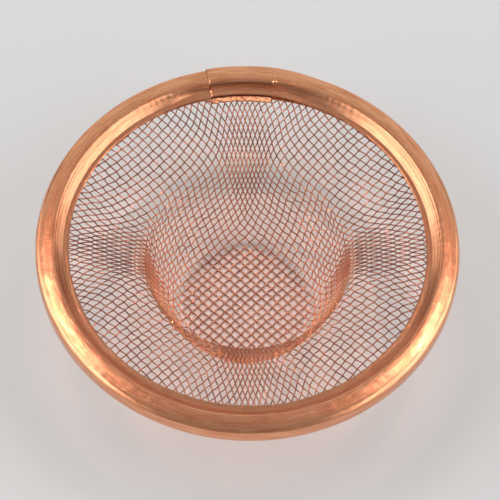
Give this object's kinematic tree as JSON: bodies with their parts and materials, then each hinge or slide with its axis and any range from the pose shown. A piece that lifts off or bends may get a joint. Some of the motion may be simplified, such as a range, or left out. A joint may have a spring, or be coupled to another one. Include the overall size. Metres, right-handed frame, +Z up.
{
  "type": "mesh drain strainer",
  "caption": "Hat-shaped strainer of woven copper wire cloth with a small tapered cup, its edge held by a folded copper strip rim with overlapped ends.",
  "frame": {"origin": "middle of the cup's flat bottom, on the surface that the cup stands on", "axes": "+Z up, out of the cup's mouth; +Y towards the lap joint in the rim strip"},
  "size_m": [0.0774, 0.0777, 0.0234],
  "materials": {
    "copper_wire": "satin",
    "copper_strip": "satin"
  },
  "bodies": {
    "root": {"mesh_basket": "copper_wire", "rim_strip": "copper_strip"}
  },
  "joints": []
}
